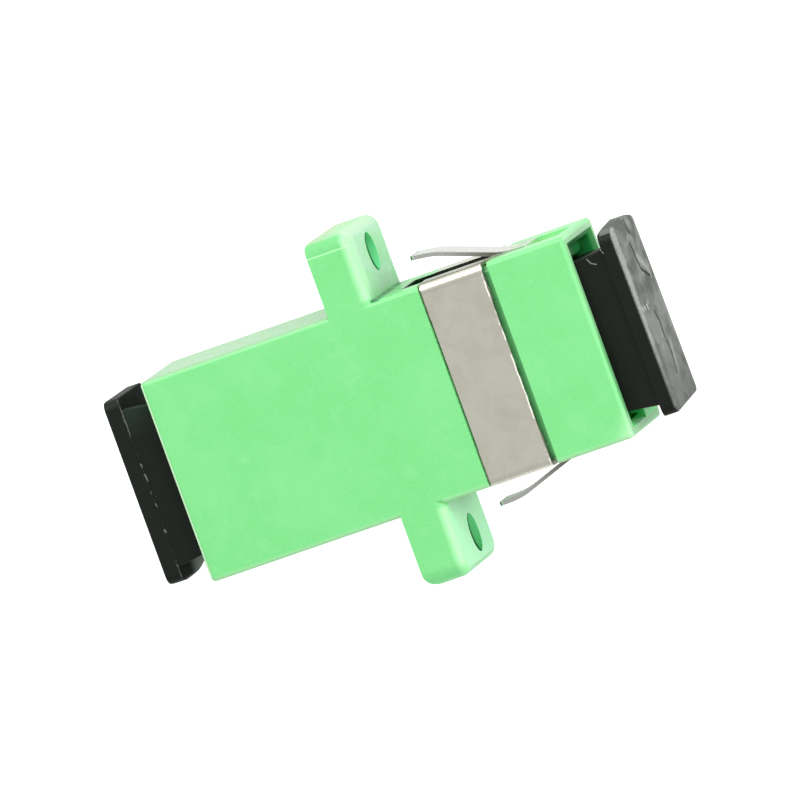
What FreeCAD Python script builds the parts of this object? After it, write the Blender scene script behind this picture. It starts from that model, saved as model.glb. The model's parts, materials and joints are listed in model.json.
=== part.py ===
import FreeCAD, Part
import math
import os

os.makedirs("parts", exist_ok=True)
V = FreeCAD.Vector

# X runs along the fibre axis, towards the clip end; Y is the flange width.
# The keyway face lies on Z = 0 and the band of the clip is on the top face.

# housing
body_length = 27.5
body_width = 12.8
body_height = 9.3
body_edge_r = 0.3
rear_corner_r = 0.32
front_corner_r = 0.28
wide_wall = 0.9
narrow_wall = 0.9
cavity_corner_r = 0.25
mouth_lead_wide = 0.15
mouth_lead_narrow = 0.35
mouth_lead_depth = 0.35
merge = 0.05
axis_z = body_height / 2

# flange
flange_width = 22.0
screw_edge_distance = 2.0
flange_rear_x = -1.4
flange_thickness = 2.9
flange_corner_r = 1.0
flange_front_r = 0.7
flange_tip_r = 0.45
flange_low_tip_r = 0.9
screw_spacing = flange_width - 2 * screw_edge_distance
screw_hole_r = 1.2

# split sleeve
sleeve_bore_r = 1.25
sleeve_wall = 0.35
sleeve_r = sleeve_bore_r + sleeve_wall
sleeve_length = 11.4
sleeve_slit = 0.5
sleeve_chamfer = 0.15

# middle web and the ribs that keep the latch plates against it
web_half = 0.8
web_hole_gap = 0.2
web_hole_r = sleeve_r + web_hole_gap
snap_rib_height = 0.2
snap_rib_length = 0.5
snap_rib_half = 3.0
snap_rib_slope = 0.18

# guide blocks beside the plug, on the keyway side
block_width = 0.95
block_inner_y = body_width / 2 - narrow_wall - block_width
block_top_z = 4.2
block_length = 4.05
block_setback = 1.0
block_chamfer = 0.2

# clip seat
groove_x0 = 4.34
groove_x1 = 8.85
groove_depth_wide = 0.5
groove_depth_narrow = 0.25
groove_corner_r = 0.45
channel_x0 = 3.05
channel_end_wall = 0.65
channel_x1 = body_length / 2 - channel_end_wall
channel_rise = 0.45
channel_z = axis_z + channel_rise
channel_half_z = 1.9
pocket_depth = 0.55

# keyway
key_half = 1.5
key_to_groove = 0.7
key_length = body_length / 2 - groove_x1 - key_to_groove
key_corner_r = 0.4

# latch inserts
plate_thickness = 1.4
plate_side_gap = 0.1
plate_top_gap = 0.1
plate_corner_r = 0.4
plate_overlap = 0.5
sleeve_side_gap = 0.05
sleeve_end_gap = 0.15
barrel_seat_r = sleeve_r + sleeve_side_gap
barrel_wall = 0.75
barrel_r = barrel_seat_r + barrel_wall
barrel_lip_gap = 0.2
barrel_lip_r = sleeve_bore_r + barrel_lip_gap
barrel_lip_length = 0.75
barrel_chamfer = 0.3
barrel_reach = sleeve_length / 2 + sleeve_end_gap + barrel_lip_length
hook_inner_y = 3.6
hook_thickness = 0.8
hook_half_z = 1.9
hook_reach = 9.3
hook_nose_y = 3.1
hook_nose_flat = 0.5
hook_nose_back = 0.35
hook_tip_step = 0.25
hook_ramp = 0.9
hook_root_r = 0.6

# clip
sheet = 0.25
band_rear_gap = 0.05
band_front_gap = 0.4
band_x0 = groove_x0 + band_rear_gap
band_x1 = groove_x1 - band_front_gap
waist_half = 4.2
waist_depth = 0.06
clip_side_gap = 0.05
clip_half_width = body_width / 2 - groove_depth_narrow + clip_side_gap + sheet
clip_bend_r = 0.5
foot_reach = 3.0
foot_corner_r = 0.6
side_plate_x1 = 11.13
side_plate_corner_r = 0.4
side_plate_gap = 0.1
side_plate_half_z = channel_half_z - side_plate_gap
side_plate_rail = 0.42
tongue_half_z = side_plate_half_z - side_plate_rail
tongue_slit = 0.1
tongue_root_x = 9.45
tongue_root_length = 1.0
tongue_mid_x = 5.35
tongue_mid_rise = 1.43
tongue_tip_x = 3.95
tongue_tip_rise = 1.6
tongue_low_tip_rise = 1.46
tongue_bend_r = 4.1
tongue_tip_r = 0.6

# dust caps
cap_standoff = 1.82
cap_head_thickness = 0.95
cap_head_inset = 0.6
cap_head_half = body_width / 2 - cap_head_inset
cap_top_gap = 0.15
cap_head_near_r = 0.6
cap_head_far_r = 0.4
cap_head_inner_r = 0.3
cap_head_tip_r = 0.12
cap_crown = 0.26
cap_crown_low = 0.25
cap_edge_r = 0.14
cap_roll = 2.7
cap_play = 0.04
cap_tongue_side_gap = 0.7
cap_tongue_half = body_width / 2 - narrow_wall - cap_tongue_side_gap
cap_tongue_flare = 0.22
cap_tongue_root = cap_tongue_half + cap_tongue_flare
cap_tongue_thickness = 1.06
cap_tongue_edge_r = 0.1
cap_tongue_lead = 0.4
cap_lift = math.sin(math.radians(cap_roll))
cap_top_z = body_height - wide_wall - cap_play - cap_tongue_root * cap_lift
cap_skirt_half = block_inner_y - cap_play - axis_z * cap_lift
cap_low_z = wide_wall + cap_play + cap_skirt_half * cap_lift
cap_skirt_reach = 8.0
cap_skirt_wall = 0.8
cap_barrel_gap = 0.15
cap_room_corner_r = 0.3
cap_press_travel = 1.8
cap_slot_gap = 0.3
cap_slot_end_gap = 0.4
cap_slot_corner_r = 0.4
cap_overlap = 0.2
rear_cap_shift_x = -0.08
rear_cap_shift_y = 0.1


def box(x0, x1, y0, y1, z0, z1):
    return Part.makeBox(x1 - x0, y1 - y0, z1 - z0, V(x0, y0, z0))


def rod(radius, x0, x1, y=0.0, z=axis_z):
    return Part.makeCylinder(radius, x1 - x0, V(x0, y, z), V(1, 0, 0))


def edges_along(shape, axis, test=None):
    found = []
    for edge in shape.Edges:
        if len(edge.Vertexes) != 2 or not isinstance(edge.Curve, Part.Line):
            continue
        a, b = edge.Vertexes[0].Point, edge.Vertexes[1].Point
        d = b.sub(a)
        across = [abs(d.x), abs(d.y), abs(d.z)]
        along = across.pop(axis)
        mid = a.add(b).multiply(0.5)
        if along > 1e-6 and max(across) < 1e-6 and (test is None or test(mid)):
            found.append(edge)
    return found


def edges_in_plane(shape, axis, value, test=None):
    found = []
    for edge in shape.Edges:
        limits = edge.BoundBox
        low = (limits.XMin, limits.YMin, limits.ZMin)[axis]
        high = (limits.XMax, limits.YMax, limits.ZMax)[axis]
        if abs(low - value) < 1e-4 and abs(high - value) < 1e-4:
            if test is None or test(limits.Center):
                found.append(edge)
    return found


def prism_z(points, z0, z1):
    wire = Part.makePolygon([V(x, y, z0) for x, y in points + points[:1]])
    return Part.Face(wire).extrude(V(0, 0, z1 - z0))


def turned(shape):
    copy = shape.copy()
    copy.rotate(V(0, 0, 0), V(0, 0, 1), 180)
    return copy


def mirrored_y(shape):
    return shape.mirror(V(0, 0, 0), V(0, 1, 0))


def outer_body():
    half, side = body_length / 2, body_width / 2
    shape = box(-half, half, -side, side, 0, body_height)
    shape = shape.makeFillet(rear_corner_r, edges_along(shape, 2, lambda p: p.x < 0))
    shape = shape.makeFillet(front_corner_r, edges_along(shape, 2, lambda p: p.x > 0))
    shape = shape.makeFillet(body_edge_r, edges_in_plane(shape, 2, 0))
    return shape.makeFillet(body_edge_r, edges_in_plane(shape, 2, body_height))


def flange():
    x0, x1 = flange_rear_x, flange_rear_x + flange_thickness
    tip = flange_width / 2
    plate = box(x0, x1, -tip, tip, 0, body_height)
    plate = plate.makeFillet(flange_corner_r, edges_along(plate, 0))
    plate = plate.makeFillet(flange_front_r, edges_in_plane(plate, 0, x1))
    outline = box(x0, x1 + 1, -tip, tip, -1, body_height + 1)
    for radius, side in ((flange_tip_r, 1), (flange_low_tip_r, -1)):
        outline = outline.makeFillet(radius, edges_along(
            outline, 2, lambda p: p.x < x0 + merge and p.y * side > 0))
    plate = plate.common(outline)
    for y in (-screw_spacing / 2, screw_spacing / 2):
        plate = plate.cut(rod(screw_hole_r, x0 - 1, x1 + 1, y))
    return plate


def port_space():
    half, side = body_length / 2, body_width / 2 - narrow_wall
    room = box(web_half, half + 1, -side, side, wide_wall, body_height - wide_wall)
    room = room.makeFillet(cavity_corner_r, edges_along(room, 0))
    inner = half - mouth_lead_depth
    rings = []
    for x, grow_y, grow_z in ((inner, 0, 0), (half, mouth_lead_narrow, mouth_lead_wide)):
        y, z0, z1 = side + grow_y, wide_wall - grow_z, body_height - wide_wall + grow_z
        rings.append(Part.makePolygon([V(x, -y, z0), V(x, y, z0), V(x, y, z1), V(x, -y, z1), V(x, -y, z0)]))
    return room.fuse(Part.makeLoft(rings, True, True))


def keyway():
    half = body_length / 2
    slot = box(half - key_length, half + 1, -key_half, key_half, -1, wide_wall + mouth_lead_wide + merge)
    return slot.makeFillet(key_corner_r, edges_along(slot, 2, lambda p: p.x < half))


def guide_blocks():
    half, side = body_length / 2, body_width / 2 - narrow_wall / 2
    floor = wide_wall / 2
    flush = box(half - block_length, half, -side, -block_inner_y, floor, block_top_z)
    short = box(half - block_length, half - block_setback, block_inner_y, side, floor, block_top_z)
    flush = flush.makeChamfer(block_chamfer, edges_along(
        flush, 2, lambda p: p.x > half - merge and p.y > -block_inner_y - merge))
    short = short.makeChamfer(block_chamfer, edges_along(
        short, 2, lambda p: p.x > half - block_setback - merge and p.y < block_inner_y + merge))
    return [flush, short]


def snap_ribs():
    x0 = web_half + plate_thickness
    low = box(x0, x0 + snap_rib_length, -snap_rib_half, snap_rib_half,
              wide_wall / 2, wide_wall + snap_rib_height)
    top = body_height - wide_wall
    high = box(x0, x0 + snap_rib_length, -snap_rib_half, snap_rib_half,
               top - snap_rib_height, top + wide_wall / 2)
    low = low.makeChamfer(snap_rib_slope, edges_along(
        low, 1, lambda p: p.x > x0 + merge and p.z > wide_wall))
    high = high.makeChamfer(snap_rib_slope, edges_along(
        high, 1, lambda p: p.x > x0 + merge and p.z < top))
    return [low, high]


def clip_seat():
    side = body_width / 2 - groove_depth_narrow
    ring = box(groove_x0, groove_x1, -body_width, body_width, -1, body_height + 1)
    core = box(groove_x0 - 1, groove_x1 + 1, -side, side,
               groove_depth_wide, body_height - groove_depth_wide)
    core = core.makeFillet(groove_corner_r, edges_along(core, 0))
    cuts = [ring.cut(core)]
    z0, z1 = channel_z - channel_half_z, channel_z + channel_half_z
    floor = body_width / 2 - pocket_depth
    for x1, low in ((channel_x1, side), (tongue_root_x, floor)):
        recess = box(channel_x0, x1, low, body_width, z0, z1)
        cuts += [recess, mirrored_y(recess)]
    return cuts


def housing():
    shape = outer_body().fuse(flange())
    space = port_space()
    shape = shape.cut(space).cut(turned(space))
    shape = shape.cut(rod(web_hole_r, -web_half - 1, web_half + 1))
    for block in guide_blocks() + snap_ribs():
        shape = shape.fuse(block).fuse(turned(block))
    key = keyway()
    shape = shape.cut(key).cut(turned(key))
    for cut in clip_seat():
        shape = shape.cut(cut)
    return shape.removeSplitter()


def latch_insert():
    x0 = web_half
    x1 = x0 + plate_thickness
    side = body_width / 2 - narrow_wall - plate_side_gap
    plate = box(x0, x1, -side, side, wide_wall, body_height - wide_wall - plate_top_gap)
    plate = plate.makeFillet(plate_corner_r, edges_along(plate, 0))
    barrel = rod(barrel_r, x1 - plate_overlap, barrel_reach)
    barrel = barrel.makeChamfer(barrel_chamfer, edges_in_plane(barrel, 0, barrel_reach))
    shape = plate.fuse(barrel)
    outer = hook_inner_y + hook_thickness
    nose = hook_reach - hook_ramp - hook_nose_flat
    root_x = x1 - plate_overlap
    arm = prism_z([
        (root_x, hook_inner_y - hook_root_r), (x1, hook_inner_y - hook_root_r),
        (x1 + hook_root_r, hook_inner_y), (nose - hook_nose_back, hook_inner_y),
        (nose, hook_nose_y), (nose + hook_nose_flat, hook_nose_y),
        (hook_reach, hook_inner_y + hook_tip_step), (hook_reach, outer),
        (x1 + hook_root_r, outer), (x1, outer + hook_root_r), (root_x, outer + hook_root_r),
    ], axis_z - hook_half_z, axis_z + hook_half_z)
    shape = shape.fuse(arm).fuse(mirrored_y(arm))
    shape = shape.cut(rod(barrel_seat_r, x0 - 1, barrel_reach - barrel_lip_length))
    shape = shape.cut(rod(barrel_lip_r, x0 - 1, barrel_reach + 1))
    return shape.removeSplitter()


def split_sleeve():
    half = sleeve_length / 2
    shape = rod(sleeve_r, -half, half).cut(rod(sleeve_bore_r, -half - 1, half + 1))
    shape = shape.makeChamfer(sleeve_chamfer, [
        edge for edge in shape.Edges
        if isinstance(edge.Curve, Part.Circle) and abs(edge.Curve.Radius - sleeve_bore_r) < 1e-6])
    slit = box(-half - 1, half + 1, -sleeve_slit / 2, sleeve_slit / 2, axis_z, axis_z + 2 * sleeve_r)
    return shape.cut(slit)


def clip_frame():
    z1 = body_height - groove_depth_wide + sheet
    z0 = groove_depth_wide - sheet
    outer = box(band_x0, band_x1, -clip_half_width, clip_half_width, z0, z1)
    outer = outer.makeFillet(clip_bend_r, edges_along(outer, 0))
    inner = box(band_x0 - 1, band_x1 + 1, -clip_half_width + sheet, clip_half_width - sheet,
                z0 + sheet, z1 - sheet)
    inner = inner.makeFillet(clip_bend_r - sheet, edges_along(inner, 0))
    frame = outer.cut(inner)
    gap_half = clip_half_width - foot_reach
    gap = box(band_x0 - 1, band_x1 + 1, -gap_half, gap_half, z0 - 1, z0 + sheet + merge)
    frame = frame.cut(gap)
    foot_ends = edges_along(frame, 2, lambda p: p.z < z0 + sheet)
    frame = frame.makeFillet(foot_corner_r, [
        edge for edge in foot_ends if abs(abs(edge.Vertexes[0].Y) - gap_half) < 1e-6])
    return frame


def waist_cuts():
    cuts = []
    for edge, outward in ((band_x0, -1), (band_x1, 1)):
        inner = edge - outward * waist_depth
        beyond = edge + outward
        cuts.append(prism_z([
            (beyond, -waist_half), (edge, -waist_half), (inner, -waist_half + waist_depth),
            (inner, waist_half - waist_depth), (edge, waist_half), (beyond, waist_half),
        ], axis_z, body_height))
    return cuts


def spring_tongue(tip_rise):
    inner = clip_half_width - sheet
    root_x = tongue_root_x + tongue_root_length
    slope = math.atan2(tongue_mid_rise, tongue_root_x - tongue_mid_x)
    tip = math.atan2(tip_rise - tongue_mid_rise, tongue_mid_x - tongue_tip_x)
    nx, ny = math.sin(slope) * sheet, math.cos(slope) * sheet
    tx, ty = math.sin(tip) * sheet, math.cos(tip) * sheet
    mid_y = clip_half_width + tongue_mid_rise
    tip_y = clip_half_width + tip_rise
    bends = [
        (tongue_root_x, clip_half_width), (tongue_mid_x, mid_y),
        (tongue_mid_x - (nx + tx) / 2, mid_y - (ny + ty) / 2), (tongue_root_x - nx / 2, inner),
    ]
    z0, z1 = channel_z - tongue_half_z, channel_z + tongue_half_z
    strip = prism_z([
        (root_x, inner), (root_x, clip_half_width), bends[0], bends[1], (tongue_tip_x, tip_y),
        (tongue_tip_x - tx, tip_y - ty), bends[2], bends[3],
    ], z0, z1)
    strip = strip.makeFillet(tongue_bend_r, edges_along(
        strip, 2, lambda p: min(math.hypot(p.x - x, p.y - y) for x, y in bends) < merge))
    outline = box(tongue_tip_x - sheet, root_x, inner - 1, tip_y + 1, z0, z1)
    outline = outline.makeFillet(tongue_tip_r, edges_along(outline, 1, lambda p: p.x < tongue_tip_x))
    return strip.common(outline)


def clip():
    shape = clip_frame()
    inner = clip_half_width - sheet
    plate = box(band_x1 - band_front_gap, side_plate_x1, inner, clip_half_width,
                channel_z - side_plate_half_z, channel_z + side_plate_half_z)
    plate = plate.makeFillet(side_plate_corner_r, edges_along(
        plate, 1, lambda p: p.x > side_plate_x1 - merge))
    cut_half = tongue_half_z + tongue_slit
    window = box(band_x0 - 1, tongue_root_x + tongue_root_length - merge, inner - 1,
                 clip_half_width + 1, channel_z - cut_half, channel_z + cut_half)
    shape = shape.fuse(plate).cut(window).fuse(spring_tongue(tongue_tip_rise))
    shape = shape.fuse(mirrored_y(plate)).cut(mirrored_y(window))
    shape = shape.fuse(mirrored_y(spring_tongue(tongue_low_tip_rise)))
    for cut in waist_cuts():
        shape = shape.cut(cut)
    return shape.removeSplitter()


def cap_head(x0, x1):
    # the +Y end is crowned, and the -Y end is flat
    z0, z1 = wide_wall, body_height - wide_wall - cap_top_gap
    half = cap_head_half
    corners = [V(x0, half, z1), V(x0, -half, z1), V(x0, -half, z0), V(x0, half - cap_crown_low, z0)]
    crown = Part.Arc(corners[3], V(x0, half + cap_crown, axis_z), corners[0]).toShape()
    head = Part.Face(Part.Wire(Part.makePolygon(corners).Edges + [crown])).extrude(V(x1 - x0, 0, 0))
    head = head.makeFillet(cap_head_near_r, edges_along(head, 0, lambda p: p.z > axis_z))
    head = head.makeFillet(cap_head_far_r, edges_along(head, 0, lambda p: p.z < axis_z))
    plan = box(x0, x1 + 1, -half, half + cap_crown, z0 - 1, z1 + 1)
    plan = plan.makeFillet(cap_head_inner_r, edges_along(plan, 2, lambda p: p.x < x1 and p.y > 0))
    plan = plan.makeFillet(cap_head_tip_r, edges_along(plan, 2, lambda p: p.x < x1 and p.y < 0))
    head = head.common(plan)
    return head.makeFillet(cap_edge_r, edges_in_plane(head, 0, x1))


def dust_cap():
    x0 = body_length / 2 + cap_standoff
    x1 = x0 + cap_head_thickness
    inner_x = x0 - cap_skirt_reach
    mouth = body_length / 2 + cap_overlap
    side, root = cap_tongue_half, cap_tongue_root
    lead_x, lead_y = inner_x + cap_tongue_lead, side - cap_tongue_lead
    tongue = prism_z([
        (x0 + cap_overlap, -root), (x0 + cap_overlap, root), (x0, root), (mouth, side),
        (lead_x, side), (inner_x, lead_y), (inner_x, -lead_y), (lead_x, -side), (mouth, -side),
        (x0, -root),
    ], cap_top_z - cap_tongue_thickness, cap_top_z)
    tongue = tongue.makeFillet(cap_tongue_edge_r, edges_in_plane(tongue, 2, cap_top_z))
    skirt = box(inner_x, x0 + cap_overlap, -cap_skirt_half, cap_skirt_half,
                cap_low_z, cap_top_z - cap_tongue_thickness / 2)
    room_half = barrel_r + cap_barrel_gap
    room_side = cap_skirt_half - cap_skirt_wall
    room = box(inner_x - 1, x0, -room_side, room_side, axis_z - room_half, axis_z + room_half)
    room = room.makeFillet(cap_room_corner_r, edges_along(room, 0))
    slot_half = hook_half_z + cap_slot_gap
    slot = box(inner_x - 1, hook_reach + cap_press_travel + cap_slot_end_gap, -body_width, body_width,
               axis_z - slot_half, axis_z + slot_half)
    slot = slot.makeFillet(cap_slot_corner_r, edges_along(slot, 1, lambda p: p.x > inner_x))
    shape = cap_head(x0, x1).fuse(tongue).fuse(skirt).cut(room).cut(slot)
    return shape.removeSplitter()


def rolled(shape, degrees):
    copy = shape.copy()
    copy.rotate(V(0, 0, axis_z), V(1, 0, 0), degrees)
    return copy


def moved(shape, x, y):
    copy = shape.copy()
    copy.translate(V(x, y, 0))
    return copy


latch = latch_insert()
cap = dust_cap()
pieces = {
    "housing": housing(),
    "latch_front": latch,
    "latch_rear": turned(latch),
    "split_sleeve": split_sleeve(),
    "clip": clip(),
    "cap_front": rolled(cap, cap_roll),
    "cap_rear": moved(turned(cap), rear_cap_shift_x, rear_cap_shift_y),
}
for name, shape in pieces.items():
    if len(shape.Solids) == 1:
        shape = shape.Solids[0]
    shape.exportStep("parts/%s.step" % name)
    print(name, len(shape.Solids), shape.isValid(), round(shape.Volume, 2), shape.BoundBox)
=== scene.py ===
import json
import math
import bmesh
import bpy
from mathutils import Matrix, Vector

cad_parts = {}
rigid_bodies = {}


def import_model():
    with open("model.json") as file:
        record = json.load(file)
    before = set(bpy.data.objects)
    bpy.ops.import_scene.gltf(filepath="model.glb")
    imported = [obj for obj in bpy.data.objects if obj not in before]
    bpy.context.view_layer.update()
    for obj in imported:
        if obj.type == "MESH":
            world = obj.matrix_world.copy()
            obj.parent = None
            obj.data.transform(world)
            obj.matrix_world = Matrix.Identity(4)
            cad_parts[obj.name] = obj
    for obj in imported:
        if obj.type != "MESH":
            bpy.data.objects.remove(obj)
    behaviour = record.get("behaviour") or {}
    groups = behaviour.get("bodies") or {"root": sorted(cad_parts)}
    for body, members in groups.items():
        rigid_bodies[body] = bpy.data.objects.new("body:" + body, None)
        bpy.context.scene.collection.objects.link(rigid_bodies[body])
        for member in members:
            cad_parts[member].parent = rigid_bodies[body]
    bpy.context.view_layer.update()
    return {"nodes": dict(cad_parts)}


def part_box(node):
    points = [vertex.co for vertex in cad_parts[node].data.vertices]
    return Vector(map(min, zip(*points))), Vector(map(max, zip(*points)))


mm = 0.001

for leftover in list(bpy.data.objects):     # the start-up cube, lamp and camera
    bpy.data.objects.remove(leftover)
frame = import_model()
nodes = frame["nodes"]
print("frame loaded:", ", ".join(sorted(nodes)))


def cornersOf(node):
    # a node's lowest and highest corner, in mm
    low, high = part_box(node)
    return low / mm, high / mm


# places are in mm, as in the construction: X towards the clip end, Y along the flange, Z up
housingLow, housingHigh = cornersOf("housing")
rearX, frontX = housingLow.x, housingHigh.x     # the two mouths
topZ, axisZ = housingHigh.z, housingHigh.z / 2
earTipY = housingHigh.y
bodyHalf = 6.4                                  # half the body's width, where the flange's ears begin
wall = 0.9                                      # the body's wall
flangeRear, flangeFront = -1.4, 1.5
capFront = cornersOf("cap_front")[1].x          # the front cap's outer face
headFace = cornersOf("cap_rear")[0].x + 0.95    # the face of the rear cap's head that looks at the body


def seen(red, green, blue):
    # a colour as a screen shows it, 0 to 255, turned into the linear light that a shader takes
    channels = [part / 255 for part in (red, green, blue)]
    light = [part / 12.92 if part <= 0.04045 else ((part + 0.055) / 1.055) ** 2.4 for part in channels]
    return (*light, 1.0)


class Wire:
    # one output socket; arithmetic on it adds Math nodes
    def __init__(self, shader, socket):
        self.shader = shader
        self.socket = socket

    def math(self, operation, *values):
        return self.shader.node("ShaderNodeMath", {"operation": operation}, dict(enumerate(values)))

    def __add__(self, other):
        return self.math("ADD", self, other)

    def __radd__(self, other):
        return self.math("ADD", other, self)

    def __sub__(self, other):
        return self.math("SUBTRACT", self, other)

    def __rsub__(self, other):
        return self.math("SUBTRACT", other, self)

    def __mul__(self, other):
        return self.math("MULTIPLY", self, other)

    def __rmul__(self, other):
        return self.math("MULTIPLY", other, self)

    def __pow__(self, other):
        return self.math("POWER", self, other)

    def __abs__(self):
        return self.math("ABSOLUTE", self)

    def least(self, other):
        return self.math("MINIMUM", self, other)

    def most(self, other):
        return self.math("MAXIMUM", self, other)


class Shader:
    def __init__(self, name):
        self.material = bpy.data.materials.new(name)
        self.material.use_nodes = True
        self.tree = self.material.node_tree
        self.tree.nodes.clear()
        coordinates = self.node("ShaderNodeTexCoord", output="Object")
        self.place = self.node(
            "ShaderNodeVectorMath", {"operation": "SCALE"}, {0: coordinates, "Scale": 1 / mm})     # in mm
        split = self.node("ShaderNodeSeparateXYZ", sockets={0: self.place}, output=None)
        self.x, self.y, self.z = [Wire(self, part) for part in split.outputs]

    def node(self, kind, settings=None, sockets=None, output=0):
        made = self.tree.nodes.new(kind)
        for name, value in (settings or {}).items():
            setattr(made, name, value)
        for name, value in (sockets or {}).items():
            if isinstance(value, Wire):
                self.tree.links.new(value.socket, made.inputs[name])
            else:
                made.inputs[name].default_value = value
        return made if output is None else Wire(self, made.outputs[output])

    def stretched(self, scale, turn=(0, 0, 0)):
        return self.node("ShaderNodeMapping", sockets={
            "Vector": self.place, "Rotation": turn, "Scale": scale})

    def noise(self, scale, detail=2.0, roughness=0.5, place=None, distortion=0.0):
        return self.node("ShaderNodeTexNoise", sockets={
            "Vector": place or self.place, "Scale": scale, "Detail": detail,
            "Roughness": roughness, "Distortion": distortion})

    def fade(self, value, span):
        # 0 below the span, 1 above it, smooth between
        return self.node("ShaderNodeMapRange", {"interpolation_type": "SMOOTHSTEP"}, {
            "Value": value, "From Min": span[0], "From Max": span[1]})

    def within(self, value, span, soft):
        # 1 inside the span, 0 outside, soft on both sides of its ends
        low, high = span
        return self.fade(value, (low - soft, low + soft)) * (1 - self.fade(value, (high - soft, high + soft)))

    def line(self, value, centre, half, soft):
        return 1 - self.fade(abs(value - centre), (half, half + soft))

    def stroke(self, across, along, points, half, soft):
        # a line through the points, drawn run by run; share is how far along its run a place lies
        drawn = None
        for (u0, v0), (u1, v1) in zip(points, points[1:]):
            du, dv = u1 - u0, v1 - v0
            square = du * du + dv * dv
            share = ((across - u0) * (du / square) + (along - v0) * (dv / square)).most(0.0).least(1.0)
            gap = ((across - u0 - share * du) ** 2 + (along - v0 - share * dv) ** 2) ** 0.5
            run = 1 - self.fade(gap, (half, half + soft))
            drawn = run if drawn is None else drawn.most(run)
        return drawn

    def strokes(self, across, along, lines, half, soft):
        drawn = None
        for points in lines:
            one = self.stroke(across, along, points, half, soft)
            drawn = one if drawn is None else drawn.most(one)
        return drawn

    def mix(self, amount, first, second):
        made = self.node("ShaderNodeMix", {"data_type": "RGBA"}, output=None)
        for index, value in ((0, amount), (6, first), (7, second)):     # the sockets of a colour mix
            if isinstance(value, Wire):
                self.tree.links.new(value.socket, made.inputs[index])
            else:
                made.inputs[index].default_value = value
        return Wire(self, made.outputs[2])

    def bump(self, height, strength):
        return self.node("ShaderNodeBump", sockets={"Height": height, "Distance": mm, "Strength": strength})

    def finish(self, **sockets):
        names = {name.replace("_", " "): value for name, value in sockets.items()}
        surface = self.node("ShaderNodeBsdfPrincipled", sockets=names)
        self.node("ShaderNodeOutputMaterial", sockets={"Surface": surface}, output=None)
        return self.material


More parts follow.
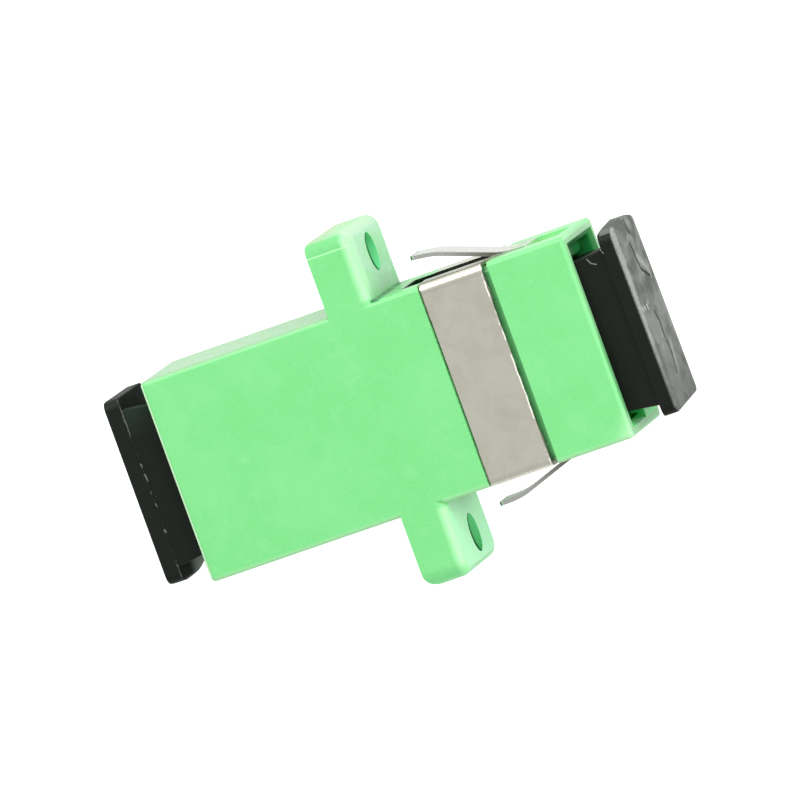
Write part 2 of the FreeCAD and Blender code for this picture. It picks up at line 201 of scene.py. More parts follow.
housingLook = {
    "tone": seen(122, 213, 133),
    "deepTone": seen(116, 209, 127),
    "paleTone": seen(139, 223, 149),
    "lightEdge": seen(196, 250, 196),
    "rimHighlight": seen(222, 255, 214),
    "pinkEndReflection": seen(196, 194, 174),
    "paleEndReflection": seen(182, 212, 182),
    "sideReflection": seen(150, 176, 146),
    "sideShadeLine": seen(84, 130, 84),
    "greyShade": seen(120, 170, 130),
    "coolReflection": seen(176, 218, 192),
    "lowFaceLight": seen(166, 248, 186),
    "lowTipLight": seen(134, 246, 156),
    "slotShade": seen(14, 48, 20),
    "grooveShade": seen(26, 112, 50),
    "channelLight": seen(176, 226, 160),
    "insideShade": seen(52, 180, 92),
    "leadShade": seen(96, 190, 112),
    "lowLeadLight": seen(70, 236, 110),
    "cornerShade": seen(56, 128, 84),
    "holeTone": seen(126, 246, 164),
    "lowHoleLight": seen(132, 255, 166),
    "holeShade": seen(20, 126, 64),
    "roughness": 0.2,
    "grainSize": 0.1,
    "grainDepth": 0.004,
    # from here on, where each shade starts and ends; Side is the distance from the middle plane Y = 0
    "halvesY": (-1.0, 1.0),
    "topFaceZ": (topZ - 0.4, topZ - 0.3),
    # the flange's ears: painted highlights on the rounded front edge and crease, painted shade on the brow,
    # painted reflections on the end, bevel and front face, and painted shade at the root
    "earSide": (bodyHalf + 0.05, bodyHalf + 0.35),
    "earEdgeX": (0.9, 1.7),
    "earEdgeZ": (topZ - 1.3, topZ - 0.8),
    "creaseY": 10.06,
    "browY": (10.14, earTipY - 0.04),
    "browZ": (topZ - 1.1, topZ - 0.9),
    "endY": (earTipY - 0.24, earTipY - 0.02),
    "endX": (flangeFront - 0.1, flangeFront - 0.02),
    "endBlendX": (-0.8, 0.8),
    "ridgeZ": (topZ - 1.2, topZ - 0.85),
    "ridgeX": (0.0, 1.0),
    "bevelReach": (11.8, 12.0),                 # X + Y
    "earFaceX": (flangeFront - 0.14, flangeFront - 0.01),
    "lowFaceSide": (bodyHalf - 0.2, bodyHalf + 1.2),
    "faceShadeSide": (bodyHalf, bodyHalf + 1.6),
    "rootX": (1.35, 1.9),
    "rootSide": (bodyHalf + 0.02, bodyHalf + 0.22),
    "rootY": (bodyHalf - 0.1, bodyHalf - 0.02),
    "lowTipY": (0.1 - earTipY, 0.9 - earTipY),
    "lowTipX": (flangeFront - 0.2, flangeFront - 0.05),
    # the body: painted highlight on the rim of the rear mouth, painted light on the lower rounded edge,
    # painted reflection on the upper side, and the corner of the front mouth
    "rearRimX": rearX + 0.09,
    "rearRimZ": (topZ - 0.3, topZ - 0.15),
    "rearRimY": (bodyHalf - 0.3, bodyHalf - 0.15),
    "lowEdgeY": (0.15 - bodyHalf, 0.35 - bodyHalf),
    "lowEdgeZ": (topZ - 0.7, topZ - 0.4),
    "lowEdgeSide": (bodyHalf, bodyHalf + 0.05),
    "lowEdgeGapX": (flangeRear, flangeFront - 0.1),
    "flankY": (bodyHalf - 0.18, bodyHalf - 0.1),
    "flankX": (flangeRear - 0.04, flangeRear),
    "seamZ": topZ - 0.55,
    "cornerSlope": 0.6,
    "cornerReach": (15.9, 17.6),                # X - slope * Y
    # screw holes: distance from their axis, and where their shade ends as X + slope * depth under the axis
    "screwY": 9.0,
    "holeReach": (1.21, 1.23),
    "holeDepth": (1.53, 1.62),
    "holeSlope": 0.4686,
    "holeRimReach": 1.24,
    "holeRimZ": (4.6, 5.2),
    "holeRimX": (flangeFront - 0.05, flangeFront - 0.01),
    # painted shade under and behind the clip, painted light in the side channels
    "grooveX": (4.36, 8.83),
    "grooveZ": (0.6, 8.95),
    "groovePaleX": (8.45, 8.8),
    "pocketX": (2.88, 9.6),
    "pocketZ": (3.02, 7.15),
    "pocketSide": (5.7, 6.5),
    "channelX": (10.9, 13.1),
    "channelZ": (3.12, 7.05),
    "channelSide": (6.05, 6.3),
    # the mouth's rim, and the lead-in and the inside in painted shade
    "leadX": (frontX - 0.45, frontX - 0.35),
    "leadSide": (bodyHalf - wall + 0.34, bodyHalf - wall + 0.38),
    "leadZ": (wall - 0.2, topZ - wall + 0.18),
    "mouthX": (frontX - 0.07, frontX - 0.02),
    "cavitySide": (bodyHalf - wall, bodyHalf - wall + 0.06),
    "cavityZ": (wall - 0.04, topZ - wall + 0.04),
}


def mouldedGreen(shader, look, cloud, fine):
    broad = shader.noise(0.28, 3.0, 0.55)
    colour = shader.mix(shader.fade(broad, (0.32, 0.68)), look["deepTone"], look["tone"])
    colour = shader.mix(shader.fade(cloud, (0.5, 0.8)) * 0.3, colour, look["paleTone"])
    return shader.mix(shader.fade(fine, (0.42, 0.7)) * 0.45, colour, look["paleTone"])


def shadeEars(shader, look, colour, side, ear, low):
    # the flange's ears; also gives where they are matt
    x, y, z = shader.x, shader.y, shader.z
    # painted highlight along the ears' rounded front edge
    edge = shader.within(x, look["earEdgeX"], 0.25) * shader.fade(z, look["earEdgeZ"]) * ear
    colour = shader.mix(edge * 0.5, colour, look["lightEdge"])
    # painted highlight on the crease where the ear's corner starts to round
    crease = shader.line(y, look["creaseY"], 0.015, 0.045) * shader.fade(z, look["topFaceZ"])
    colour = shader.mix(crease * 0.6, colour, look["lightEdge"])
    # painted shade on the brow beyond the crease, made matt as well
    brow = shader.within(y, look["browY"], 0.06) * shader.fade(z, look["browZ"]) * (1 - edge)
    colour = shader.mix(brow * 0.22, colour, look["grooveShade"])
    # painted reflection on the upper ear's end, pinkish behind and pale in front, and on its bevel
    end = shader.fade(y, look["endY"]) * (1 - shader.fade(x, look["endX"]))
    endReflection = shader.mix(shader.fade(x, look["endBlendX"]), look["pinkEndReflection"], look["paleEndReflection"])
    colour = shader.mix(end * 0.6, colour, endReflection)
    bevel = shader.fade(x + y, look["bevelReach"]) * ear
    colour = shader.mix(bevel * 0.7, colour, look["paleEndReflection"])
    # painted shade along a band of the ear's end
    ridge = end * shader.within(z, look["ridgeZ"], 0.1) * (1 - shader.fade(x, look["ridgeX"]))
    colour = shader.mix(ridge * 0.6, colour, look["greyShade"])
    # front faces: a blotchy painted reflection on the upper ear, painted light on the lower one, and painted
    # shade near the body
    face = shader.fade(x, look["earFaceX"]) * ear
    faceBlotches = shader.noise(0.7, 3.0, 0.55, shader.stretched((1.0, 1.0, 0.3)))
    colour = shader.mix(face * (0.2 + 0.4 * shader.fade(faceBlotches, (0.4, 0.65))), colour, look["coolReflection"])
    colour = shader.mix(face * low * shader.fade(side, look["lowFaceSide"]), colour, look["lowFaceLight"])
    faceShade = face * (1 - shader.fade(side, look["faceShadeSide"])) * (0.45 - 0.3 * low)
    colour = shader.mix(faceShade, colour, look["greyShade"])
    # painted shade in the corner where the ears' front faces meet the body
    root = shader.within(x, look["rootX"], 0.1) * (1 - shader.fade(side, look["rootSide"]))
    root = root * shader.fade(y, look["rootY"])
    colour = shader.mix(root * (0.5 + 0.45 * shader.fade(faceBlotches, (0.4, 0.6))), colour, look["cornerShade"])
    return colour, brow.most(end)


def shadeBody(shader, look, colour, side, cloud):
    x, y, z = shader.x, shader.y, shader.z
    # painted highlight along the rear mouth's rim
    rearRim = shader.line(x, look["rearRimX"], 0.04, 0.05)
    rearRim = rearRim * (shader.fade(z, look["rearRimZ"]) + shader.fade(y, look["rearRimY"])).least(1.0)
    colour = shader.mix(rearRim * 0.85, colour, look["rimHighlight"])
    # painted light: the lower side's rounded edge and the lower ear's tip, paler than the face
    lowEdge = (1 - shader.fade(y, look["lowEdgeY"])) * shader.fade(z, look["lowEdgeZ"])
    lowEdge = lowEdge * (1 - shader.fade(side, look["lowEdgeSide"]))
    lowEdge = lowEdge * (1 - shader.within(x, look["lowEdgeGapX"], 0.05)) * 0.45
    colour = shader.mix(lowEdge, colour, look["lightEdge"])
    lowTip = (1 - shader.fade(y, look["lowTipY"])) * (1 - shader.fade(x, look["lowTipX"]))
    colour = shader.mix(lowTip * 0.6, colour, look["lowTipLight"])
    # the upper side greyed by painted reflection, with a painted shade line under its rounded edge
    flank = shader.fade(y, look["flankY"]) * (1 - shader.fade(x, look["flankX"]))
    colour = shader.mix(flank * (0.5 + 0.12 * shader.fade(cloud, (0.35, 0.7))), colour, look["sideReflection"])
    seam = shader.line(z, look["seamZ"], 0.04, 0.12) * flank
    colour = shader.mix(seam * 0.6, colour, look["sideShadeLine"])
    corner = shader.fade(x - y * look["cornerSlope"], look["cornerReach"]) * shader.fade(z, look["topFaceZ"])
    return shader.mix(corner * 0.6, colour, look["lightEdge"])


def shadeHoles(shader, look, colour, side, ear, low):
    # the screw holes, in painted shade under the upper rim and painted lighter in the lower ear, with a
    # painted highlight on the rim
    x, z = shader.x, shader.z
    fromAxis = ((side - look["screwY"]) ** 2 + (z - axisZ) ** 2) ** 0.5
    hole = (1 - shader.fade(fromAxis, look["holeReach"])) * ear
    depth = 1 - shader.fade(x + (axisZ - z) * look["holeSlope"], look["holeDepth"])
    holeTone = shader.mix(low, look["holeTone"], look["lowHoleLight"])
    colour = shader.mix(hole, colour, shader.mix(depth, holeTone, look["holeShade"]))
    # painted highlight on the hole's rim
    holeRim = shader.line(fromAxis, look["holeRimReach"], 0.01, 0.03) * shader.fade(z, look["holeRimZ"])
    holeRim = holeRim * shader.fade(x, look["holeRimX"])
    return shader.mix(holeRim * 0.6, colour, look["lightEdge"])


def shadeSeats(shader, look, colour, side):
    # painted shade in the groove under the clip and in the pockets behind its tongues, painted light in the
    # side channels
    x, z = shader.x, shader.z
    # painted shade in the groove
    groove = shader.within(x, look["grooveX"], 0.01) * shader.within(z, look["grooveZ"], 0.05)
    groove = groove * (0.85 - 0.5 * shader.fade(x, look["groovePaleX"]))
    colour = shader.mix(groove, colour, look["grooveShade"])
    # painted shade, nearly black, in the pockets
    pocket = shader.within(x, look["pocketX"], 0.03) * shader.within(z, look["pocketZ"], 0.03)
    pocket = pocket * shader.within(side, look["pocketSide"], 0.02)
    colour = shader.mix(pocket, colour, look["slotShade"])
    # painted light in the side channels
    channel = shader.within(x, look["channelX"], 0.05) * shader.within(z, look["channelZ"], 0.03)
    channel = channel * shader.within(side, look["channelSide"], 0.02)
    return shader.mix(channel * 0.35, colour, look["channelLight"])


def shadeInside(shader, look, colour, side, low):
    # painted shade in the lead-in and the cavity, painted lighter on the lower half; the mouth's flat rim
    # lighter, with painted shade on its lower half
    x, z = shader.x, shader.z
    # painted shade in the lead-in, lighter on the lower half
    lead = shader.fade(x, look["leadX"]) * (1 - shader.fade(side, look["leadSide"]))
    lead = lead * shader.within(z, look["leadZ"], 0.03)
    colour = shader.mix(lead * 0.8, colour, shader.mix(low, look["leadShade"], look["lowLeadLight"]))
    # the mouth's flat rim lighter, in painted shade on the lower half
    mouthRim = shader.fade(x, look["mouthX"]) * (1 - lead)
    colour = shader.mix(mouthRim * 0.3, colour, shader.mix(low, look["lightEdge"], look["greyShade"]))
    # painted shade in the cavity, lighter on the lower half
    cavity = (1 - shader.fade(side, look["cavitySide"])) * shader.within(z, look["cavityZ"], 0.02)
    return shader.mix(cavity, colour, shader.mix(low, look["insideShade"], look["lowLeadLight"]))


def greenPlastic(look):
    shader = Shader("greenPlastic")
    side = abs(shader.y)
    low = 1 - shader.fade(shader.y, look["halvesY"])        # 1 on the half towards -Y
    ear = shader.fade(side, look["earSide"])
    cloud = shader.noise(0.9, 3.0, 0.6, distortion=0.6)
    fine = shader.noise(1 / look["grainSize"], 2.0, 0.7)
    colour = mouldedGreen(shader, look, cloud, fine)
    colour, matt = shadeEars(shader, look, colour, side, ear, low)
    colour = shadeBody(shader, look, colour, side, cloud)
    colour = shadeHoles(shader, look, colour, side, ear, low)
    colour = shadeSeats(shader, look, colour, side)
    colour = shadeInside(shader, look, colour, side, low)
    height = fine * look["grainDepth"] + shader.noise(0.55, 2.0) * 0.006 + cloud * 0.004
    return shader.finish(
        Base_Color=colour,
        Roughness=look["roughness"] + 0.1 * shader.noise(1.4, 3.0) + matt * 0.4,
        Subsurface_Weight=0.1, Subsurface_Scale=0.4 * mm, Subsurface_Radius=(0.5, 1.0, 0.6),
        IOR=1.5,
        Normal=shader.bump(height, 0.7))


clipLook = {
    "tone": seen(226, 225, 209),
    "dullTone": seen(210, 208, 192),
    "shearedEdgeAndShade": seen(104, 104, 88),
    "edgeGlint": seen(252, 250, 240),
    "springTone": seen(228, 227, 224),
    "tipShade": seen(52, 68, 56),
    "greenReflection": seen(176, 216, 178),
    "shoulderReflection": seen(96, 78, 70),
    "roughness": 0.2,
    # the band: its top, its two sheared edges, the painted highlight along the front one and a faint painted
    # dark reflection
    "bandTopZ": (topZ - 0.6, topZ - 0.5),
    "bandX": (4.41, 8.42),
    "brightX": 8.33,
    "stripeY": (5.8, 5.95),
    # the side walls: painted dark reflections on the bend, a painted green reflection at the channel's end
    # and a painted shade line in the tongue's window
    "wallSide": (bodyHalf - 0.04, bodyHalf + 0.02),
    "wallEnd": (bodyHalf + 0.055, bodyHalf + 0.06),
    "wallY": (bodyHalf - 0.02, bodyHalf + 0.06),
    "bendZ": (7.2, 8.76),
    "shoulderZ": (8.4, 8.76),
    "castX": (8.8, 9.2),
    "windowZ": (3.6, 3.64),
    "windowX": (9.0, 9.4),
    # the tongues: sheared upper edge, in painted shade towards the root, a painted shade line and the tip
    # painted dark as shade
    "springSide": (bodyHalf + 0.06, bodyHalf + 0.1),
    "springEdgeZ": (6.465, 6.475),
    "springRootX": (5.5, 9.2),
    "springLineZ": 6.3,
    "tipX": (4.0, 4.12),
}


def stripSteel(look):
    shader = Shader("stripSteel")
    x, y, z = shader.x, shader.y, shader.z
    side = abs(y)
    rolled = shader.noise(1.0, 4.0, 0.6, shader.stretched((18.0, 0.8, 0.8)))
    smudge = shader.noise(0.55, 4.0, 0.65, distortion=1.0)
    spots = shader.noise(2.2, 3.0, 0.7)
    grain = shader.noise(14.0, 2.0, 0.6)
    colour = shader.mix(shader.fade(smudge, (0.35, 0.72)) * 0.7, look["tone"], look["dullTone"])
    colour = shader.mix(shader.fade(spots, (0.52, 0.8)) * 0.35, colour, look["dullTone"])
    colour = shader.mix(shader.fade(grain, (0.5, 0.8)) * 0.1, colour, look["dullTone"])
    # the band's sheared edges are ragged and dark, partly painted shade in the gap beside them, with a broken
    # painted highlight in front
    top = shader.fade(z, look["bandTopZ"])
    ragged = x + (shader.noise(1.3, 4.0, 0.7) - 0.5) * 0.16
    bright = shader.line(ragged, look["brightX"], 0.025, 0.03) * top
    bright = bright * shader.fade(shader.noise(0.6, 3.0, 0.7), (0.42, 0.55))
    colour = shader.mix(bright, colour, look["edgeGlint"])
    rearEdge, frontEdge = [shader.line(ragged, edge, 0.02, 0.03) for edge in look["bandX"]]
    colour = shader.mix((rearEdge + frontEdge).least(1.0) * top * 0.8, colour, look["shearedEdgeAndShade"])
    # a faint painted dark reflection across the band before the bend
    stripe = shader.within(y, look["stripeY"], 0.05) * top
    colour = shader.mix(stripe * 0.12, colour, look["shearedEdgeAndShade"])
    # the side walls: painted dark reflections, a painted green reflection and a painted shade line
    shoulder = shader.within(z, look["bendZ"], 0.05) * 0.35 + shader.within(z, look["shoulderZ"], 0.05) * 0.5
    colour = shader.mix(shoulder * shader.within(y, look["wallY"], 0.01), colour, look["shoulderReflection"])
    # painted green reflection at the channel's end
    sideWall = shader.fade(side, look["wallSide"]) * (1 - shader.fade(side, look["wallEnd"]))
    colour = shader.mix(shader.fade(x, look["castX"]) * sideWall * 0.6, colour, look["greenReflection"])
    # painted shade line in the tongue's window
    window = shader.within(z, look["windowZ"], 0.02) * (1 - shader.fade(x, look["windowX"]))
    colour = shader.mix(window * 0.9, colour, look["tipShade"])
    # the tongues: painted shade along the edge towards the root, a painted shade line and a tip painted dark
    # as shade
    spring = shader.fade(side, look["springSide"])
    colour = shader.mix(spring, colour, look["springTone"])
    # the sheared edge, in painted shade towards the root
    springEdge = spring * shader.fade(z, look["springEdgeZ"])
    springEdge = springEdge * (0.3 + 0.6 * shader.fade(x, look["springRootX"]))
    colour = shader.mix(springEdge, colour, look["shearedEdgeAndShade"])
    # a soft painted shade line along the tongue
    springLine = spring * shader.line(z, look["springLineZ"], 0.03, 0.1) * 0.4
    colour = shader.mix(springLine, colour, look["shearedEdgeAndShade"])
    # the tip painted dark as shade
    tip = 1 - shader.fade(x, look["tipX"])
    colour = shader.mix(tip, colour, look["tipShade"])
    # the painted highlight and the tip's painted shade are not metal
    return shader.finish(
        Base_Color=colour, Metallic=1 - 0.9 * tip.most(bright),
        Roughness=look["roughness"] + 0.1 * smudge + 0.05 * rolled,
        Normal=shader.bump((rolled * 0.001 + grain * 0.001) * (1 - spring) + smudge * 0.01, 0.6))


capLook = {
    "tone": seen(14, 22, 15),
    "frontTone": seen(16, 20, 14),
    "faceSheen": seen(118, 122, 116),
    "darkFaceSheen": seen(78, 82, 76),
    "scuffAndHighlightTone": seen(158, 161, 155),
    "tickTone": seen(206, 208, 204),
    "greyEndLight": seen(128, 138, 130),
    "housingReflectionTone": seen(56, 74, 62),
    "crackTone": seen(22, 24, 22),
    "roughness": 0.42,
    # the front cap's outer face and upper end, grey from painted sheen, its worn top edge with a painted
    # highlight, trough and a low end in painted shade
    "faceX": (capFront - 0.14, capFront - 0.06),
    "endX": (capFront - 0.9, capFront - 0.8),
    "endY": (5.54, 5.6),
    "wearAndHighlightX": (capFront - 0.18, capFront - 0.1),
    "wearAndHighlightZ": (7.55, 7.8),
    "wearAndHighlightY": (-5.0, 3.0),
    "troughZ": 7.25,
    "lowEndY": (-5.0, -1.5),
    "tongueTopZ": (7.5, 7.6),
    # the lines on that face, as (Y, Z), each with its half width and soft edge
    "cracks": (
        ((5.73, 4.06), (5.3, 4.05), (4.92, 3.79)),
        ((4.28, 4.65), (3.62, 4.43), (2.66, 4.08), (2.3, 3.3), (2.0, 2.39)),
        ((0.03, 4.71), (-0.67, 4.2), (-1.28, 4.29), (-1.99, 4.18), (-2.71, 4.07), (-3.48, 4.48),
         (-3.9, 4.53)),
        ((-5.28, 4.59), (-5.51, 4.49)),
    ),
    "crackWidth": (0.055, 0.12),
    "ridges": (
        ((3.43, 4.0), (2.66, 2.63), (2.05, 2.2)),
        ((-2.12, 3.31), (-3.31, 3.78)),
    ),
    "ridgeWidth": (0.08, 0.35),
    "ticks": (((0.66, 7.5), (0.45, 7.35)), ((0.66, 6.9), (0.45, 6.7)), ((0.62, 6.0), (0.35, 5.9))),
    "tickWidth": (0.035, 0.08),
    # fine light scratches on top of the front cap's tongue, as (X, Y)
    "scratches": (((14.52, 4.55), (14.68, 4.22), (14.97, 4.07)), ((15.48, 4.85), (15.63, 4.58))),
    "scratchWidth": (0.0, 0.045),
    # the rear cap's line of flash with a painted highlight on it, its brighter bits as (Y, half length), and
    # where it is strong
    "flashX": headFace + 0.03,
    "flashTopZ": (7.9, 8.0),
    "flashStrongY": ((-4.9, -4.6), (3.2, 3.8)),
    "flashSpotX": headFace + 0.04,
    "flashSpots": ((1.6, 0.03), (0.8, 0.14), (-0.95, 0.03), (-2.6, 0.03)),
    # its head's matt inner face, grey from painted light at the low end, and a painted green reflection of
    # the housing on its tongue
    "innerX": (headFace - 0.02, headFace + 0.1),
    "innerTopZ": (8.1, 8.2),
    "greyEndY": (-5.0, -4.2),
    "greyEndZ": (3.0, 5.5),
    "housingReflectionX": (headFace + 0.07, headFace + 0.15),
    "housingReflectionY": (3.2, 5.0),
}


def frontMarks(shader, look, colour, grain, wobble):
    # the face's painted sheen with flow waves, worn edge with a painted highlight, ridges, cracks, nicks and
    # scratches
    x, y, z = shader.x, shader.y, shader.z
    waves = shader.noise(0.5, 3.0, 0.5, shader.stretched((1.0, 0.8, 0.4), (0.35, 0, 0)), distortion=1.2)
    streaks = shader.noise(1.1, 3.0, 0.6, shader.stretched((1.0, 0.5, 0.5), (0.5, 0, 0)), distortion=0.8)
    end = shader.fade(y, look["endY"]) * shader.fade(x, look["endX"])
    face = shader.fade(x, look["faceX"]).most(end)
    # painted sheen: the face greyed in waves, with its flow streaks
    shades = shader.mix(shader.fade(waves, (0.36, 0.62)), look["darkFaceSheen"], look["faceSheen"])
    shades = shader.mix(shader.fade(streaks, (0.5, 0.72)) * 0.5, shades, look["scuffAndHighlightTone"])
    trough = shader.line(z + wobble * 0.6, look["troughZ"], 0.05, 0.3) * shader.fade(streaks, (0.35, 0.6))
    shades = shader.mix(trough * 0.6, shades, look["darkFaceSheen"])
    colour = shader.mix(face * 0.95, colour, shades)
    # the top edge: wear and a painted highlight
    wearAndHighlight = shader.fade(x, look["wearAndHighlightX"]) * shader.fade(z + wobble * 1.2 + y * 0.04, look["wearAndHighlightZ"])
    wearAndHighlight = wearAndHighlight * (0.5 + 0.4 * shader.fade(y, look["wearAndHighlightY"])) * (0.6 + 0.4 * shader.fade(grain, (0.4, 0.6)))
    colour = shader.mix(wearAndHighlight, colour, look["scuffAndHighlightTone"])
    across, along = y + wobble * 0.25, z + wobble * 0.5
    ridges = shader.strokes(across, along, look["ridges"], *look["ridgeWidth"])
    colour = shader.mix(ridges * face * 0.7, colour, look["scuffAndHighlightTone"])
    cracks = shader.strokes(across, along, look["cracks"], *look["crackWidth"])
    colour = shader.mix(cracks * face, colour, look["crackTone"])
    ticks = shader.strokes(y, z, look["ticks"], *look["tickWidth"])
    for points in look["scratches"]:
        scratch = shader.stroke(x, y, points, *look["scratchWidth"])
        ticks = ticks.most(scratch * shader.fade(z, look["tongueTopZ"]) * 0.5)
    colour = shader.mix(ticks * 0.9, colour, look["tickTone"])
    # painted shade towards the low end
    colour = shader.mix(face * (1 - shader.fade(y, look["lowEndY"])) * 0.5, colour, look["darkFaceSheen"])
    return colour, face, waves, cracks, ridges


def flashHighlightLine(shader, look, wobble):
    # a painted highlight along the line of flash where the plug's tongue meets its head
    x, y = shader.x, shader.y
    ragged = shader.noise(2.5, 3.0, 0.7, shader.stretched((0.2, 1.0, 0.2)))
    lowEnd, highEnd = look["flashStrongY"]
    strong = (shader.fade(y, highEnd) + (1 - shader.fade(y, lowEnd))).least(1.0)
    top = shader.fade(shader.z, look["flashTopZ"])
    flashHighlight = shader.line(x + wobble * 0.14, look["flashX"], 0.012, 0.035) * top
    flashHighlight = flashHighlight * (0.08 + shader.fade(ragged, (0.55, 0.7)) * 0.35).most(strong * (0.5 + 0.5 * ragged))
    for centre, half in look["flashSpots"]:
        spot = shader.line(y + wobble * 0.3, centre, half, 0.15) * top
        leaning = x + wobble * 0.2 + (y - centre) * 0.15
        flashHighlight = flashHighlight.most(spot * shader.line(leaning, look["flashSpotX"], 0.01, 0.045))
    return flashHighlight


def rearMarks(shader, look, colour, rough, wobble):
    x, y, z = shader.x, shader.y, shader.z
    inner = shader.within(x, look["innerX"], 0.01) * (1 - shader.fade(z, look["innerTopZ"]))
    # painted light: the inner face's low end greyer and lighter
    litGreyEnd = inner * (1 - shader.fade(y, look["greyEndY"])) * (1 - shader.fade(z, look["greyEndZ"]))
    colour = shader.mix(litGreyEnd * 0.9, colour, look["greyEndLight"])
    rough = rough + inner * (1 - litGreyEnd) * 0.35
    # a dull, slightly green painted reflection of the housing on the tongue's upper end
    housingReflection = shader.fade(x, look["housingReflectionX"]) * shader.fade(y + wobble, look["housingReflectionY"])
    colour = shader.mix(housingReflection * 0.35, colour, look["housingReflectionTone"])
    return colour, rough + housingReflection * 0.5


def blackRubber(look, front):
    shader = Shader("frontRubber" if front else "rearRubber")
    flow = shader.noise(0.35, 3.0, 0.55, shader.stretched((1.0, 0.35, 1.0)), distortion=1.5)
    grain = shader.noise(7.0, 3.0, 0.65)
    speck = shader.noise(11.0, 1.0, 0.5)
    wobble = shader.noise(1.6, 3.0, 0.6) - 0.5
    tone = look["frontTone"] if front else look["tone"]
    colour = shader.mix(shader.fade(grain, (0.6, 0.95)) * 0.08, tone, look["scuffAndHighlightTone"])
    colour = shader.mix(shader.fade(speck, (0.77, 0.82)) * 0.25, colour, look["scuffAndHighlightTone"])
    height = flow * (0.12 if front else 0.04) + grain * 0.012
    rough = look["roughness"] + 0.2 * flow
    if front:
        colour, face, waves, cracks, ridges = frontMarks(shader, look, colour, grain, wobble)
        height = height + face * waves * 0.25 - cracks * face * 0.1 + ridges * face * 0.06
    else:
        colour, rough = rearMarks(shader, look, colour, rough, wobble)
        # painted highlight on the rear cap's line of flash
        flashHighlight = flashHighlightLine(shader, look, wobble)
        colour = shader.mix(flashHighlight * 0.75, colour, look["scuffAndHighlightTone"])
        height = height + flashHighlight * 0.02
    return shader.finish(
        Base_Color=colour, Roughness=rough, Specular_IOR_Level=0.2, Normal=shader.bump(height, 0.8))


insertLook = {
    "tone": seen(60, 178, 96),
    "shade": seen(44, 158, 80),
    "roughness": 0.36,
}


def satinGreen(look):
    shader = Shader("satinGreen")
    broad = shader.noise(0.5, 3.0)
    grain = shader.noise(9.0, 2.0, 0.6)
    colour = shader.mix(shader.fade(broad, (0.3, 0.7)), look["shade"], look["tone"])
    return shader.finish(
        Base_Color=colour, Roughness=look["roughness"] + 0.1 * broad,
        Subsurface_Weight=0.08, Subsurface_Scale=0.4 * mm,
        Normal=shader.bump(grain * 0.005 + broad * 0.01, 0.6))


sleeveLook = {
    "tone": seen(245, 243, 236),
    "shade": seen(228, 225, 216),
    "roughness": 0.14,
}


def zirconia(look):
    shader = Shader("zirconia")
    broad = shader.noise(0.8, 2.0)
    ground = shader.noise(2.0, 3.0, 0.6, shader.stretched((22.0, 1.0, 1.0)))
    colour = shader.mix(broad, look["shade"], look["tone"])
    return shader.finish(
        Base_Color=colour, Roughness=look["roughness"] + 0.08 * ground, IOR=2.1,
        Normal=shader.bump(ground * 0.001, 0.5))


insertFinish = satinGreen(insertLook)
finishes = {
    "housing": greenPlastic(housingLook),
    "clip": stripSteel(clipLook),
    "latch_front": insertFinish,
    "latch_rear": insertFinish,
    "split_sleeve": zirconia(sleeveLook),
    "cap_front": blackRubber(capLook, True),
    "cap_rear": blackRubber(capLook, False),
}
for name, finish in finishes.items():
    for slot in nodes[name].material_slots:
        slot.material = finish
print("finishes set")


studio = {
    "floorSize": 1.6,
    "floorTone": (0.6, 0.6, 0.6, 1.0),
    "floorGlow": 0.88,
    "cardTone": (0.38, 0.38, 0.38, 1.0),
    "cardGlow": 0.5,
    "glowTone": (1.0, 1.0, 1.0, 1.0),
    # how far the two lie under the object, in mm
    "floorDrop": 0.01,
    "cardDrop": 0.1,
    # brightness by height, from straight down (0) over the horizon (0.5) to straight up (1)
    "skyStops": ((0.0, 0.1), (0.48, 0.1), (0.52, 0.6), (0.9, 0.6), (1.0, 0.67)),
}


def paleSheet(name, tone, glow, glowTone):
    return Shader(name).finish(
        Base_Color=tone, Roughness=0.9, Specular_IOR_Level=0.0,
        Emission_Color=glowTone, Emission_Strength=glow)


def layPlane(name, size, drop, material):
    mesh = bpy.data.meshes.new(name)
    mesh.materials.append(material)
    build = bmesh.new()
    bmesh.ops.create_grid(
        build, x_segments=1, y_segments=1, size=size / 2, matrix=Matrix.Translation((0, 0, -drop * mm)))
    build.to_mesh(mesh)
    build.free()
    plane = bpy.data.objects.new(name, mesh)
    bpy.context.scene.collection.objects.link(plane)
    return plane


def layFloor(values):
    # the camera sees a bright sweep; the object is lit and mirrored by a plain card in the same place
    brightSheet = paleSheet("paleFloor", values["floorTone"], values["floorGlow"], values["glowTone"])
    floor = layPlane("floor", values["floorSize"], values["floorDrop"], brightSheet)
    floor.visible_diffuse = floor.visible_glossy = floor.visible_shadow = False
    plainSheet = paleSheet("paleCard", values["cardTone"], values["cardGlow"], values["glowTone"])
    card = layPlane("bounceCard", values["floorSize"], values["cardDrop"], plainSheet)
    card.visible_camera = False


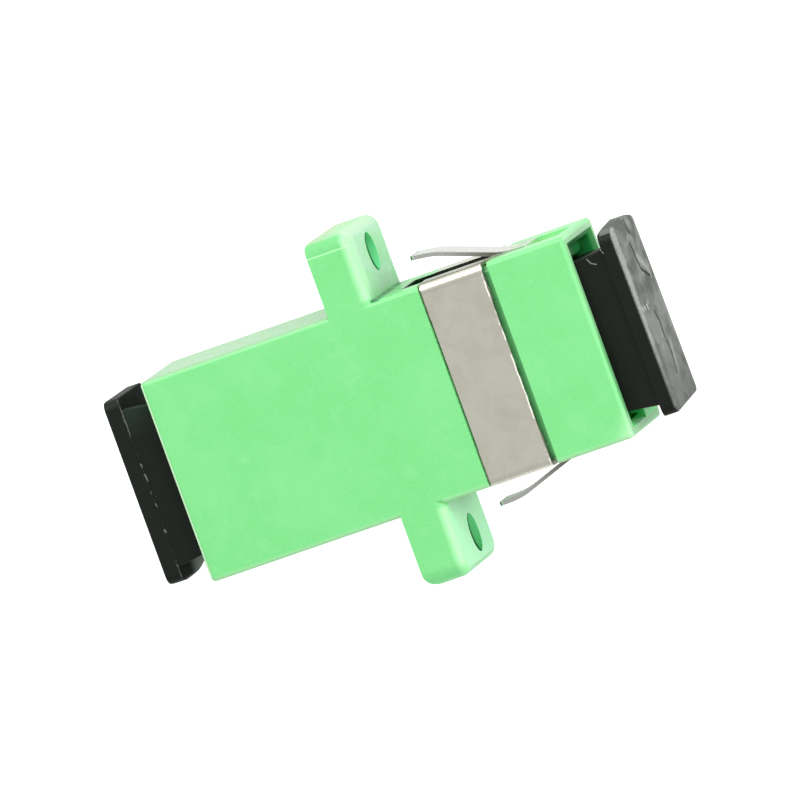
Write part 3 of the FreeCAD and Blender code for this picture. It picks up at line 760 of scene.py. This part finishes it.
def lightSky(values):
    world = bpy.data.worlds.new("studio")
    bpy.context.scene.world = world
    world.use_nodes = True
    tree = world.node_tree
    tree.nodes.clear()
    coordinates = tree.nodes.new("ShaderNodeTexCoord")
    split = tree.nodes.new("ShaderNodeSeparateXYZ")
    raised = tree.nodes.new("ShaderNodeMapRange")       # -1...1 to 0...1
    raised.inputs["From Min"].default_value = -1.0
    rise = tree.nodes.new("ShaderNodeValToRGB")
    ramp = rise.color_ramp
    ramp.interpolation = "EASE"
    while len(ramp.elements) < len(values["skyStops"]):
        ramp.elements.new(0.5)
    for element, (height, brightness) in zip(ramp.elements, values["skyStops"]):
        element.position = height
        element.color = (brightness, brightness, brightness, 1.0)
    sky = tree.nodes.new("ShaderNodeBackground")
    out = tree.nodes.new("ShaderNodeOutputWorld")
    tree.links.new(coordinates.outputs["Generated"], split.inputs[0])
    tree.links.new(split.outputs["Z"], raised.inputs["Value"])
    tree.links.new(raised.outputs[0], rise.inputs[0])
    tree.links.new(rise.outputs["Color"], sky.inputs["Color"])
    tree.links.new(sky.outputs[0], out.inputs["Surface"])


# places and sizes in metres, power in watts; each box looks at the middle of the object
softBoxes = {
    "broadSide": {"spot": (0.0, 0.45, 0.25), "size": (0.8, 0.5), "power": 1.5},
    "highSide": {"spot": (0.0, 0.33, 0.34), "size": (0.6, 0.16), "power": 1.1},
    "rightSide": {"spot": (0.43, 0.0, 0.25), "size": (0.5, 0.5), "power": 1.5},
}


def hangSoftBoxes(boxes):
    for name, values in boxes.items():
        data = bpy.data.lights.new(name, "AREA")
        data.shape = "RECTANGLE"
        data.size, data.size_y = values["size"]
        data.energy = values["power"]
        box = bpy.data.objects.new(name, data)
        spot = Vector(values["spot"])
        box.matrix_world = Matrix.Translation(spot) @ spot.to_track_quat("Z", "Y").to_matrix().to_4x4()
        bpy.context.scene.collection.objects.link(box)


# target, distance, lens and sensor in mm, angles in degrees
photoCamera = {
    "target": (-0.05, -0.02, axisZ),
    "azimuth": 17.21,
    "elevation": 76.22,
    "roll": -126.79,
    "distance": 1091.98,
    "lens": 817.78,
    "sensor": 36.0,
}


def setCamera(values):
    data = bpy.data.cameras.new("photoCamera")
    data.sensor_width = values["sensor"]
    data.lens = values["lens"]
    data.clip_start = 0.05
    data.clip_end = 10.0
    camera = bpy.data.objects.new("photoCamera", data)
    azimuth, elevation = math.radians(values["azimuth"]), math.radians(values["elevation"])
    towards = Vector((
        math.cos(elevation) * math.cos(azimuth),
        math.cos(elevation) * math.sin(azimuth),
        math.sin(elevation)))
    facing = towards.to_track_quat("Z", "Y").to_matrix().to_4x4()
    spot = (Vector(values["target"]) + towards * values["distance"]) * mm
    roll = Matrix.Rotation(math.radians(values["roll"]), 4, "Z")
    camera.matrix_world = Matrix.Translation(spot) @ facing @ roll
    bpy.context.scene.collection.objects.link(camera)
    bpy.context.scene.camera = camera


layFloor(studio)
lightSky(studio)
hangSoftBoxes(softBoxes)
setCamera(photoCamera)
bpy.context.scene.view_settings.view_transform = "Standard"
print("studio ready")
